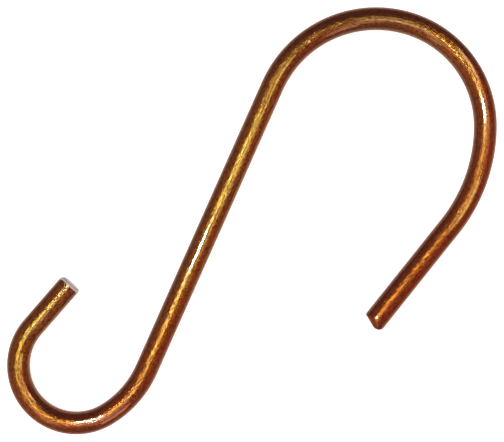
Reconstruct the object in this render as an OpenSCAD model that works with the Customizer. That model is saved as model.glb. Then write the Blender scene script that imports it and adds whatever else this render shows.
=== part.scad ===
// S hook, bent from one length of round lacquered wire.
// It lies flat on its side, with its shank along Y and the large hook at the +Y end.
// Both hooks are built alike: bends of falling tightness from the shank outwards, then a
// straight leg that leans back towards the shank and ends in a sheared cut.

/* [Wire] */
// Diameter of the round wire
wire_d = 5; // [4:0.1:6]

/* [Shank] */
// Straight length between the two hooks
shank_l = 67; // [50:0.5:100]

/* [Large hook] */
// Inside radius of the rise, from the shank over the crown
rise_r = 22; // [18:0.1:28]
// Turn of the rise, in degrees
rise_turn = 84; // [70:0.5:95]
// Inside radius of the nose, past the crown
nose_r = 20.7; // [16:0.1:26]
// Turn of the nose, in degrees
nose_turn = 73; // [60:0.5:85]
// Inside radius of the wider bend that runs out into the leg
runout_r = 32.5; // [24:0.1:45]
// Angle at which the leg leans back towards the shank
large_lean = 14.63; // [5:0.01:22]
// Straight length of the leg, up to the middle of its cut
large_leg_l = 27.1; // [15:0.1:32]

/* [Small hook] */
// Inside radius of the wider bend next to the shank
heel_r = 19; // [14:0.1:26]
// Inside radius of the seat
seat_r = 10; // [8:0.1:13]
// Turn of the seat, in degrees
seat_turn = 161; // [145:0.5:170]
// Angle at which the leg leans back towards the shank
small_lean = 17.06; // [5:0.01:25]
// Straight length of the leg, up to the middle of its cut
small_leg_l = 12.65; // [8:0.05:18]

/* [Cut ends] */
// Angle of the shear cut on the large hook's leg, off square
large_cut = 21; // [0:0.5:30]
// Radius to which the blade rolled that cut's outer corner
large_roll = 1.6; // [0.5:0.05:2]
// Angle of the shear cut on the small hook's leg, off square
small_cut = 2; // [0:0.5:30]
// Radius to which the blade rolled that cut's outer corner
small_roll = 1.1; // [0.3:0.05:2]
// Radius of the inner corner of both cuts
burr_r = 0.6; // [0.2:0.05:0.8]

/* [Hidden] */
$fn = 96;

// Each hook's bends from the shank outwards, as [radius of the wire's centre line, turn]
LARGE_BENDS = [
    [rise_r + wire_d / 2, rise_turn],
    [nose_r + wire_d / 2, nose_turn],
    [runout_r + wire_d / 2, 180 + large_lean - rise_turn - nose_turn]
];
SMALL_BENDS = [
    [heel_r + wire_d / 2, 180 + small_lean - seat_turn],
    [seat_r + wire_d / 2, seat_turn]
];

// Angle at which a rolled corner meets the faces beside it
ROLL_LEAD = 10;
// Longer than any part of a cut end
REACH = 10 * wire_d;
// Every point is reached by a step to this grid and a finer one, so that bends meet closely
GRID = 0.001;

// A unit vector at an angle from +X
function toward(angle) = [cos(angle), sin(angle)];

// In a hook's own frame the shank ends at the origin, running towards +Y, and the bends turn
// clockwise. A bend's points are named by their angle about its centre: the first starts at 180.
function start_angle(bends, i) = i == 0 ? 180 : start_angle(bends, i - 1) - bends[i - 1][1];
function end_angle(bends, i) = start_angle(bends, i) - bends[i][1];

// Centre of a bend, in line with the centre of the one before and the place where they meet
function centre(bends, i) = i == 0
    ? [bends[0][0], 0]
    : centre(bends, i - 1) + (bends[i - 1][0] - bends[i][0]) * toward(start_angle(bends, i));

// Where the last bend runs out into the leg
function leg_start(bends) = let (last = len(bends) - 1)
    centre(bends, last) + bends[last][0] * toward(end_angle(bends, last));

// How far a hook's bends reach from the end of the shank in one direction, the wire included
function hook_reach(bends, direction) = wire_d / 2 + max([
    for (i = [0 : len(bends) - 1])
        let (nearest = max(end_angle(bends, i), min(start_angle(bends, i), direction)))
            centre(bends, i) * toward(direction) + bends[i][0] * cos(direction - nearest)
]);

// The origin is below the middle of the hook's outline, on the surface it lies on
MIDDLE = [
    (hook_reach(LARGE_BENDS, 0) - hook_reach(SMALL_BENDS, 0)) / 2,
    (shank_l + hook_reach(LARGE_BENDS, 90) - hook_reach(SMALL_BENDS, 90)) / 2
];

module at(point) {
    step = [for (value = point) round(value / GRID) * GRID];
    translate(step) translate(point - step) children();
}

module shank() {
    rotate([-90, 0, 0]) cylinder(d = wire_d, h = shank_l);
}

module bend(bends, i) {
    at(centre(bends, i))
        rotate_extrude(start = end_angle(bends, i), angle = bends[i][1])
            translate([bends[i][0], 0])
                circle(d = wire_d);
}

// A corner that points to +X and +Y, rounded about the origin between +Y and the cut's slope
module rounded_corner(radius, slope) {
    circle(radius);
    translate([-REACH, -REACH]) square([REACH, 2 * REACH]);
    rotate(-slope) translate([-REACH, -REACH]) square([2 * REACH, REACH]);
}

// Puts a corner where its circle meets the wire's side and the cut at the lead angle
module corner_at(length, slope, radius) {
    side = wire_d / 2 - radius * cos(ROLL_LEAD);
    back = radius * cos(ROLL_LEAD) / cos(slope);
    translate([length + side * tan(slope) - back, side]) rounded_corner(radius, slope);
}

// What the shear leaves of a leg along +X, seen from above: longest at its outer side, +Y
module sheared_outline(length, cut, roll) {
    intersection() {
        translate([length, 0]) rotate(-cut) translate([-REACH, -REACH]) square([REACH, 2 * REACH]);
        corner_at(length, cut, roll);
        mirror([0, 1]) corner_at(length, -cut, burr_r);
    }
}

module leg(length, cut, roll) {
    intersection() {
        rotate([0, 90, 0]) cylinder(d = wire_d, h = length + wire_d);
        linear_extrude(2 * wire_d, center = true) sheared_outline(length, cut, roll);
    }
}

module hook(bends, leg_l, cut, roll) {
    for (i = [0 : len(bends) - 1]) bend(bends, i);
    at(leg_start(bends)) rotate(end_angle(bends, len(bends) - 1) - 90) leg(leg_l, cut, roll);
}

module hook_wire() {
    color("peru")
        translate([-MIDDLE[0], -MIDDLE[1], wire_d / 2]) {
            shank();
            translate([0, shank_l]) hook(LARGE_BENDS, large_leg_l, large_cut, large_roll);
            rotate(180) hook(SMALL_BENDS, small_leg_l, small_cut, small_roll);
        }
}

hook_wire();
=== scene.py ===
"""Looks of the wire s hook: tinted clear lacquer over bright drawn steel, bare where it was cut."""
import math

import bpy
import numpy as np
from mathutils import Matrix, Vector


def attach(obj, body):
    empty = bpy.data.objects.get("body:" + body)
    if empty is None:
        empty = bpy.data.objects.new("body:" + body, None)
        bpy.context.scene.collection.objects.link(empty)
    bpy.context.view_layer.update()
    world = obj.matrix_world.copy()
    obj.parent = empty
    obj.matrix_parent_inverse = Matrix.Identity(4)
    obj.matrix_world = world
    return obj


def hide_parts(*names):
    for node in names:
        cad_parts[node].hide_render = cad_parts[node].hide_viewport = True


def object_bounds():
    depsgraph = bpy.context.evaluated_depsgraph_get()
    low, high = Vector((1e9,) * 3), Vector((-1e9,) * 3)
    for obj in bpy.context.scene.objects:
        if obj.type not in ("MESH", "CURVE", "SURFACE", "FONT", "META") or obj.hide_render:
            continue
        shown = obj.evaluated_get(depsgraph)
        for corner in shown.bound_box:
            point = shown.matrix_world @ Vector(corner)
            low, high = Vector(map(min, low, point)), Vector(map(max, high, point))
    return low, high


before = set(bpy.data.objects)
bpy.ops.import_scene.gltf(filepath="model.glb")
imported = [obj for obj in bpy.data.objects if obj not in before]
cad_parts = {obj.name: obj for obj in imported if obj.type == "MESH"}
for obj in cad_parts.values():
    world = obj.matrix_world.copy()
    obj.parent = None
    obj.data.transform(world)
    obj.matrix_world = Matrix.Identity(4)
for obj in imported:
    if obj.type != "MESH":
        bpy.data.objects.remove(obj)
cad_box = [list(corner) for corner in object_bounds()]

# Path of the wire, in metres and degrees, as in the part's source; radii are inside radii
WIRE_D = 0.005
WIRE_R = WIRE_D / 2
SHANK_L = 0.067
RISE_R, RISE_TURN = 0.022, 84
NOSE_R, NOSE_TURN = 0.0207, 73
RUNOUT_R = 0.0325
LARGE_LEAN = 14.63
LARGE_LEG_L = 0.0271
HEEL_R = 0.019
SEAT_R, SEAT_TURN = 0.010, 161
SMALL_LEAN = 17.06
SMALL_LEG_L = 0.01265

# Cut ends: each cut's slope off square and the radius of its rolled outer corner, then the radius
# of both inner corners and the angle at which a corner meets the wire's side and the cut
LARGE_CUT, LARGE_ROLL = 21, 0.0016
SMALL_CUT, SMALL_ROLL = 2, 0.0011
BURR_R = 0.0006
ROLL_LEAD = 10

# Forms finer than the source's: the upward tilt of the small hook's cut, the rolled upper and
# lower edges of the large hook's cut, and the angle and length of the taper before it
SMALL_FACE_TILT = 0.5
LARGE_EDGE_ROLL = 0.0016
TIP_TAPER, TIP_TAPER_L = 2.1, 0.00055

# Fineness of the wire's mesh. A tip's rings crowd towards its edge by a power, a cap's rings lie
# on its end face, and the bare rings are those of the small hook's tip that the lacquer spares.
SIDES = 256
RING_STEP = 0.001
TIP_L = 2.2 * WIRE_R
TIP_RINGS = 14
TIP_CROWDING = 1.5
CAP_RINGS = 16
BARE_RINGS = 3

# Drawing lines: depth, clearance inside the solid, and the run over which one fades into the next
LINE_DEPTH = 0.000027
LINE_CLEARANCE = 0.00001
LINE_RUN = 0.012
LINE_SEED = 11

# Tint of the lacquered metal by distance along the wire, from the small hook's cut
GOLD = (0.23, 0.165, 0.02)
BRONZE = (0.165, 0.102, 0.016)
COPPER = (0.22, 0.083, 0.009)
PALE = (0.2, 0.15, 0.08)
TINTS = (
    (0.000, PALE), (0.0035, GOLD), (0.022, GOLD), (0.040, COPPER), (0.055, COPPER), (0.090, GOLD),
    (0.125, GOLD), (0.142, BRONZE), (0.158, BRONZE), (0.172, GOLD), (0.200, COPPER), (0.243, COPPER),
)

# Noises, each with its scale along, across and up the straightened wire, per metre. Waves and
# blotches run along the wire, grain and specks are nearly round, shear marks run up the cut.
GRAIN = {"scale": (1400, 2400, 2400), "detail": 3.0, "roughness": 0.6}
WAVES = {"scale": (120, 500, 500), "detail": 1.0}
BLOTCHES = {"scale": (90, 300, 300)}
SPECKS = {"scale": (1500, 2800, 2800), "roughness": 0.7}
SHEAR_MARKS = {"scale": (2000, 4000, 900)}

# Lacquered wire: bump depths of grain in the metal and waves in the coat, and for blotches and
# specks their colour, their greatest share and the noise levels between which they come in
GRAIN_DEPTH = 8e-5
WAVE_DEPTH = 1e-5
BLOTCH_COLOUR, BLOTCH_SHARE, BLOTCH_LEVELS = (1.0, 0.75, 0.6, 1), 0.5, (0.3, 0.7)
SPECK_COLOUR, SPECK_SHARE, SPECK_LEVELS = (0.05, 0.018, 0.005, 1), 0.95, (0.48, 0.6)
METAL_ROUGHNESS = 0.2
COAT_ROUGHNESS = 0.045
COAT_IOR = 1.8

# A chip in the lacquer: its place along, across and up, and the radii between which it fades
CHIP_PLACE = (0.1408, -0.00043, 0.00246)
CHIP_FADE = (0.00012, 0.00034)
CHIP_COLOUR = (1.0, 0.85, 0.6, 1)

# Painted shade on the large hook's cut: a near-black tone that darkens its end, how far to both sides of
# the cut's middle it fades in, and its greatest share
END_SHADE_FADE = 0.0006
END_SHADE_SHARE = 0.85
END_SHADE_COLOUR = (0.02, 0.02, 0.025, 1)

# Bare steel of the small hook's cut: its two tones and the noise levels between them, the depth
# of its shear marks, and the dark edge, which comes in between two radii and fades along the wire
STEEL_COLOURS, STEEL_LEVELS = ((0.36, 0.57, 0.65, 1), (0.5, 0.71, 0.79, 1)), (0.3, 0.7)
STEEL_ROUGHNESS = 0.6
SHEAR_DEPTH = 4e-5
EDGE_COLOUR, EDGE_SHARE = (0.1, 0.13, 0.14, 1), 0.8
EDGE_RADII = (0.0021, 0.0024)
EDGE_FADE = (0.00005, 0.0003)

# Camera: straight down, turned so that the hook leans as photographed
IMAGE_W = 504
FOCAL_PX = 1800
SENSOR = 36
CAMERA_FOOT = (-0.003076, 0.001713)
CAMERA_H = 0.3888
CAMERA_TURN = 23.96

# Floor: a wide plate a hair below the wire, which glows so that it reads white
FLOOR_SIZE = 8
FLOOR_DROP = 0.0001
FLOOR_COLOUR = (0.9, 0.9, 0.9, 1)
FLOOR_ROUGHNESS = 0.9
FLOOR_GLOW = 0.9

# Lights and sky tints are placed by direction as the camera sees them: degrees from overhead,
# towards the right side of the picture and towards its foot. A light's width and its length,
# which lies across the shank, are the angles that it takes up, in degrees.
LIGHT_FAR = 3.0
# Name, right, down, width, length, radiance, colour
LIGHTS = (
    ("key", -8.2, -1.8, 1.1, 5, 780, (0.95, 0.92, 1)),
    ("sky", 23.5, 7.6, 9, 18, 4.7, (1, 0.84, 0.26)),
    ("overhead", 0, 17, 16, 16, 1.6, (1, 0.88, 0.8)),
    ("right", 24, -8, 20, 20, 1.5, (1, 0.62, 0.4)),
    ("upper_right", 26, -18, 10, 10, 8.5, (1, 0.62, 0.3)),
    ("lower_left", -28, 46, 10, 10, 2.3, (1, 0.8, 0.3)),
    ("left", -18, 24, 20, 20, 1.6, (1, 0.35, 0.25)),
    ("foot", 11, 34, 20, 20, 1.2, (1, 0.5, 0.25)),
    ("lower_right", 26, 54, 20, 20, 2.2, (1, 0.5, 0.35)),
)
SKY_COLOUR = (0.28, 0.095, 0.08, 1)
# Right, down, the angles off that direction between which the tint fades out, colour
SKY_TINTS = (
    (40, 8, 10, 40, (0.35, 0.02, 0.0, 1)),
    (-50, 15, 20, 70, (0.3, 0.1, 0.03, 1)),
    (90, 30, 10, 60, (0.3, 0.08, 0.02, 1)),
    (-25, 70, 10, 70, (0.22, 0.07, 0.02, 1)),
    (0, 180, 50, 85, (0.48, 0.4, 0.36, 1)),
)


def direction(degrees):
    return np.array([math.cos(math.radians(degrees)), math.sin(math.radians(degrees))])


def slope_of(degrees):
    return math.tan(math.radians(degrees))


# Path of the wire
def stretches():
    """Straight lengths as (length, 0) and bends as (middle radius, turn), small hook first."""
    small_turn, large_turn = 180 + SMALL_LEAN, 180 + LARGE_LEAN
    return [
        (SMALL_LEG_L, 0),
        (SEAT_R + WIRE_R, SEAT_TURN),
        (HEEL_R + WIRE_R, small_turn - SEAT_TURN),
        (SHANK_L, 0),
        (RISE_R + WIRE_R, -RISE_TURN),
        (NOSE_R + WIRE_R, -NOSE_TURN),
        (RUNOUT_R + WIRE_R, RISE_TURN + NOSE_TURN - large_turn),
        (LARGE_LEG_L, 0),
    ]


def walk():
    """Points, headings and distances along the wire's middle, from the small hook's cut on."""
    place, heading, gone = np.zeros(2), 90 - (180 + SMALL_LEAN), 0.0
    points, headings, distances = [place], [heading], [gone]
    for size, turn in stretches():
        length = abs(math.radians(turn)) * size if turn else size
        steps = max(2, round(length / RING_STEP))
        start, start_heading = place, heading
        for k in range(1, steps + 1):
            part = k / steps
            if turn:
                side = math.copysign(90, turn)
                centre = start + size * direction(start_heading + side)
                heading = start_heading + turn * part
                place = centre - size * direction(heading + side)
            else:
                place = start + length * part * direction(heading)
            points.append(place)
            headings.append(heading)
            distances.append(gone + length * part)
        gone += length
    points = np.array(points)
    points -= (points.min(0) + points.max(0)) / 2
    return points, np.array(headings), np.array(distances)


# Cut ends
def cut_profile(offset, cut, roll):
    """How far a sheared end reaches past the middle of its cut, at an offset to the long side."""
    lead = math.cos(math.radians(ROLL_LEAD))
    reach = offset * slope_of(cut)
    for side, radius, slope in ((1, roll, cut), (-1, BURR_R, -cut)):
        middle = WIRE_R - radius * lead
        back = middle * slope_of(slope) - radius * lead / math.cos(math.radians(slope))
        out = side * offset - middle
        rounded = out > radius * math.sin(math.radians(ROLL_LEAD - slope))
        reach = np.where(rounded, back + np.sqrt(np.maximum(radius ** 2 - out ** 2, 0)), reach)
    return reach


def small_reach(offset, up):
    """Reach of the small hook's end at an offset to its long side and a height off its middle."""
    return cut_profile(offset, SMALL_CUT, SMALL_ROLL) - (WIRE_R + up) * slope_of(SMALL_FACE_TILT)


def large_reach(offset, up):
    """The same for the large hook's end."""
    out = np.maximum(np.abs(up) - (WIRE_R - LARGE_EDGE_ROLL), 0)
    rolled_back = LARGE_EDGE_ROLL - np.sqrt(LARGE_EDGE_ROLL ** 2 - out ** 2)
    return cut_profile(offset, LARGE_CUT, LARGE_ROLL) - rolled_back


# Mesh of the wire
ANGLES = np.radians(np.arange(SIDES) * 360 / SIDES)
ACROSS, UP = np.cos(ANGLES), np.sin(ANGLES)


def drawing_lines(distances):
    """Depth of the fine lines that the drawing die left along the wire, one row a ring."""
    rng = np.random.default_rng(LINE_SEED)
    knots = np.arange(0, distances[-1] + 2 * LINE_RUN, LINE_RUN)
    depths = LINE_CLEARANCE + rng.uniform(0, LINE_DEPTH, (len(knots), SIDES))
    starts = rng.uniform(0, LINE_RUN, SIDES)
    lines = [np.interp(distances + starts[j], knots, depths[:, j]) for j in range(SIDES)]
    return np.column_stack(lines)


def tip_rings(reach, outer, room, lines, taper_l):
    """Radii and reaches of a tip's rings, from its middle out and back to the first plain ring.

    outer is each side's share towards the cut's long side, room the length up to the plain
    ring, lines the depths of that ring's lines, and taper_l the length of a taper up to the cut.
    """
    edge = reach(WIRE_R * outer, WIRE_R * UP)
    rings = []
    for k in range(1, CAP_RINGS + 1):
        part = math.sin(math.radians(90 * k / CAP_RINGS))
        radii = np.full(SIDES, WIRE_R - taper_l * slope_of(TIP_TAPER)) * part
        rings.append((radii, reach(WIRE_R * part * outer, WIRE_R * part * UP)))
    for k in range(1, TIP_RINGS):
        part = (k / TIP_RINGS) ** TIP_CROWDING
        taper = max(0, taper_l - room * part) * slope_of(TIP_TAPER)
        rings.append((WIRE_R - lines * part - taper, edge * (1 - part) - room * part))
    return rings


def wire_points():
    """All points of the wire, ring after ring and then the middles of its ends, and their lay.

    A point's lay is its place on the straightened wire: along, across and up. The last result
    is the wire's length.
    """
    points, headings, distances = walk()
    total = distances[-1]
    height = (cad_box[0][2] + cad_box[1][2]) / 2
    lines = drawing_lines(distances)
    rows, lays = [], []

    def ring(k, radii, ahead):
        """One ring about a point of the path; ahead moves each of its points along the wire."""
        forward, left = direction(headings[k]), direction(headings[k] + 90)
        flat = points[k] + np.outer(radii * ACROSS, left) + np.outer(ahead, forward)
        rows.append(np.column_stack([flat, height + radii * UP]))
        lays.append(np.column_stack([distances[k] + ahead, radii * ACROSS, radii * UP]))

    plain = np.nonzero((distances > TIP_L) & (distances < total - TIP_L))[0]
    first, last = plain[0], plain[-1]
    for radii, reach in tip_rings(small_reach, -ACROSS, distances[first], lines[first], 0):
        ring(0, radii, -reach)
    for k in plain:
        ring(k, WIRE_R - lines[k], np.zeros(SIDES))
    end_rings = tip_rings(large_reach, ACROSS, total - distances[last], lines[last], TIP_TAPER_L)
    for radii, reach in reversed(end_rings):
        ring(-1, radii, reach)

    back = -float(small_reach(0, 0))
    rows.append([*(points[0] + back * direction(headings[0])), height])
    rows.append([*points[-1], height])
    lays.append([[back, 0, 0], [total, 0, 0]])
    return np.vstack(rows), np.vstack(lays), total


def wire_faces(rings):
    """Faces between neighbouring rings, then the fans that close the small and large hook's ends."""
    quads = []
    for i in range(rings - 1):
        for j in range(SIDES):
            a, b = i * SIDES + j, i * SIDES + (j + 1) % SIDES
            quads.append((a, b, b + SIDES, a + SIDES))
    top = (rings - 1) * SIDES
    small_middle, large_middle = rings * SIDES, rings * SIDES + 1
    small_fan = [(small_middle, (j + 1) % SIDES, j) for j in range(SIDES)]
    large_fan = [(large_middle, top + j, top + (j + 1) % SIDES) for j in range(SIDES)]
    return quads, small_fan, large_fan


def build_wire():
    points, lays, total = wire_points()
    quads, small_fan, large_fan = wire_faces(len(points) // SIDES)
    faces = quads + small_fan + large_fan
    mesh = bpy.data.meshes.new("lacquered_wire")
    mesh.from_pydata(points.tolist(), [], faces)
    mesh.attributes.new("lay", "FLOAT_VECTOR", "POINT").data.foreach_set("vector", lays.ravel())
    mesh.shade_smooth()
    # The small hook's cut is bare, so its faces take the second material
    bare = np.zeros(len(faces), dtype=np.int32)
    bare[:(CAP_RINGS - 1 + BARE_RINGS) * SIDES] = 1
    bare[len(quads):len(quads) + len(small_fan)] = 1
    mesh.polygons.foreach_set("material_index", bare)
    mesh.update()
    wire = bpy.data.objects.new("lacquered_wire", mesh)
    bpy.context.scene.collection.objects.link(wire)
    return wire, total


# Materials
class Tree:
    """Short calls that add linked nodes to a material or world."""

    def __init__(self, owner):
        owner.use_nodes = True
        self.nodes, self.links = owner.node_tree.nodes, owner.node_tree.links

    def add(self, kind, inputs=None, **settings):
        node = self.nodes.new(kind)
        for name, value in settings.items():
            setattr(node, name, value)
        for name, value in (inputs or {}).items():
            self.put(node.inputs[name], value)
        return node

    def put(self, socket, value):
        if isinstance(value, bpy.types.NodeSocket):
            self.links.new(value, socket)
        else:
            socket.default_value = value

    def math(self, operation, *values):
        return self.add("ShaderNodeMath", dict(enumerate(values)), operation=operation).outputs[0]

    def vector(self, operation, *values):
        node = self.add("ShaderNodeVectorMath", dict(enumerate(values)), operation=operation)
        gives_number = operation in ("DOT_PRODUCT", "DISTANCE", "LENGTH")
        return node.outputs["Value" if gives_number else "Vector"]

    def noise(self, lay, scale, detail=2.0, roughness=0.5):
        inputs = {"Vector": self.vector("MULTIPLY", lay, scale), "Scale": 1.0}
        inputs.update({"Detail": detail, "Roughness": roughness})
        return self.add("ShaderNodeTexNoise", inputs).outputs["Fac"]

    def span(self, value, low, high, to_low=0.0, to_high=1.0):
        """Maps low..high onto to_low..to_high, held at the ends."""
        inputs = {"Value": value, "From Min": low, "From Max": high, "To Min": to_low, "To Max": to_high}
        node = self.add("ShaderNodeMapRange", inputs, interpolation_type="SMOOTHSTEP")
        return node.outputs["Result"]

    def mix(self, factor, a, b, blend="MIX"):
        node = self.add("ShaderNodeMix", data_type="RGBA", blend_type=blend)
        sockets = [socket for socket in node.inputs if socket.enabled]
        for socket, value in zip(sockets, (factor, a, b)):
            self.put(socket, value)
        return [socket for socket in node.outputs if socket.enabled][0]

    def bump(self, height, distance):
        return self.add("ShaderNodeBump", {"Height": height, "Distance": distance}).outputs["Normal"]

    def ramp(self, value, stops):
        """A smooth run of colours by stops, each a place from 0 to 1 and a colour."""
        node = self.add("ShaderNodeValToRGB", {"Fac": value})
        elements = node.color_ramp.elements
        elements[0].position, elements[1].position = stops[0][0], stops[-1][0]
        elements[0].color, elements[1].color = (*stops[0][1], 1), (*stops[-1][1], 1)
        for position, colour in stops[1:-1]:
            elements.new(position).color = (*colour, 1)
        node.color_ramp.interpolation = "B_SPLINE"
        return node.outputs["Color"]


def start_material(name):
    """A material, its tree and shader, and the lay of the point that is shaded."""
    material = bpy.data.materials.new(name)
    t = Tree(material)
    lay = t.add("ShaderNodeAttribute", attribute_name="lay").outputs["Vector"]
    return material, t, t.nodes["Principled BSDF"].inputs, lay


def lacquer(total):
    material, t, shader, lay = start_material("copper_lacquer")
    along = t.add("ShaderNodeSeparateXYZ", {"Vector": lay}).outputs["X"]
    blotch = t.span(t.noise(lay, **BLOTCHES), *BLOTCH_LEVELS, 0.0, BLOTCH_SHARE)
    speck = t.span(t.noise(lay, **SPECKS), *SPECK_LEVELS, 0.0, SPECK_SHARE)
    chip = t.span(t.vector("DISTANCE", lay, CHIP_PLACE), *CHIP_FADE, 1.0, 0.0)
    # Painted shade: the large hook's cut end is darkened towards near black
    end_shade = t.span(along, total - END_SHADE_FADE, total + END_SHADE_FADE, 0.0, END_SHADE_SHARE)
    colour = t.ramp(t.math("DIVIDE", along, total), [(far / total, tint) for far, tint in TINTS])
    colour = t.mix(blotch, colour, BLOTCH_COLOUR, "MULTIPLY")
    colour = t.mix(speck, colour, SPECK_COLOUR)
    colour = t.mix(chip, colour, CHIP_COLOUR)
    colour = t.mix(end_shade, colour, END_SHADE_COLOUR)
    t.put(shader["Base Color"], colour)
    t.put(shader["Normal"], t.bump(t.noise(lay, **GRAIN), GRAIN_DEPTH))
    t.put(shader["Coat Normal"], t.bump(t.noise(lay, **WAVES), WAVE_DEPTH))
    shader["Metallic"].default_value = 1.0
    shader["Roughness"].default_value = METAL_ROUGHNESS
    shader["Coat Weight"].default_value = 1.0
    shader["Coat Roughness"].default_value = COAT_ROUGHNESS
    shader["Coat IOR"].default_value = COAT_IOR
    return material


def bare_steel():
    material, t, shader, lay = start_material("bare_steel")
    along = t.add("ShaderNodeSeparateXYZ", {"Vector": lay}).outputs["X"]
    out = t.vector("LENGTH", t.vector("MULTIPLY", lay, (0, 1, 1)))
    marks = t.noise(lay, **SHEAR_MARKS)
    edge = t.math("MULTIPLY", t.span(along, *EDGE_FADE, EDGE_SHARE, 0.0), t.span(out, *EDGE_RADII))
    colour = t.mix(t.span(marks, *STEEL_LEVELS), *STEEL_COLOURS)
    t.put(shader["Base Color"], t.mix(edge, colour, EDGE_COLOUR))
    t.put(shader["Normal"], t.bump(marks, SHEAR_DEPTH))
    shader["Roughness"].default_value = STEEL_ROUGHNESS
    return material


# The piece
wire, total = build_wire()
wire.data.materials.append(lacquer(total))
wire.data.materials.append(bare_steel())
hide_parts("hook_wire")
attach(wire, "root")

# Camera
camera_data = bpy.data.cameras.new("camera")
camera_data.sensor_width = SENSOR
camera_data.lens = SENSOR * FOCAL_PX / IMAGE_W
camera = bpy.data.objects.new("camera", camera_data)
camera.location = (*CAMERA_FOOT, WIRE_R + CAMERA_H)
camera.rotation_euler = (0, 0, math.radians(CAMERA_TURN))
bpy.context.scene.collection.objects.link(camera)
bpy.context.scene.camera = camera

# Floor
bpy.ops.mesh.primitive_plane_add(size=FLOOR_SIZE, location=(0, 0, -FLOOR_DROP))
floor = bpy.context.object
floor.name = "floor"
floor_material = bpy.data.materials.new("floor")
floor_material.use_nodes = True
floor_shader = floor_material.node_tree.nodes["Principled BSDF"].inputs
floor_shader["Base Color"].default_value = FLOOR_COLOUR
floor_shader["Roughness"].default_value = FLOOR_ROUGHNESS
floor_shader["Emission Color"].default_value = (1, 1, 1, 1)
floor_shader["Emission Strength"].default_value = FLOOR_GLOW
floor.data.materials.append(floor_material)
floor.visible_glossy = False


# Lights and sky
def aim(right, down):
    """Unit vector towards a direction given as the camera sees it."""
    tilt = math.radians(math.hypot(right, down))
    turn = math.atan2(-down, right) + math.radians(CAMERA_TURN)
    return Vector((math.sin(tilt) * math.cos(turn), math.sin(tilt) * math.sin(turn), math.cos(tilt)))


def light(name, right, down, width, length, radiance, colour):
    """A soft light, far off and oval, with its length across the shank."""
    data = bpy.data.lights.new(name, "AREA")
    data.shape = "ELLIPSE"
    data.size = 2 * LIGHT_FAR * slope_of(length / 2)
    data.size_y = 2 * LIGHT_FAR * slope_of(width / 2)
    data.energy = radiance * math.pi ** 2 * data.size * data.size_y / 4
    data.color = colour
    lamp = bpy.data.objects.new(name, data)
    away = aim(right, down)
    lamp.location = away * LIGHT_FAR
    shank_side = Vector((1, 0, 0))
    side = (shank_side - shank_side.dot(away) * away).normalized()
    lamp.rotation_euler = Matrix((side, away.cross(side), away)).transposed().to_euler()
    lamp.visible_camera = False
    bpy.context.scene.collection.objects.link(lamp)


def sky():
    world = bpy.data.worlds.new("studio")
    t = Tree(world)
    sight = t.add("ShaderNodeTexCoord").outputs["Generated"]
    tint = t.add("ShaderNodeRGB").outputs[0]
    tint.default_value = SKY_COLOUR
    for right, down, inner, outer, colour in SKY_TINTS:
        near = t.vector("DOT_PRODUCT", sight, tuple(aim(right, down)))
        part = t.span(near, math.cos(math.radians(outer)), math.cos(math.radians(inner)))
        tint = t.mix(part, tint, colour, "ADD")
    t.put(t.nodes["Background"].inputs["Color"], tint)
    return world


for row in LIGHTS:
    light(*row)
bpy.context.scene.world = sky()
bpy.context.scene.view_settings.view_transform = "Standard"
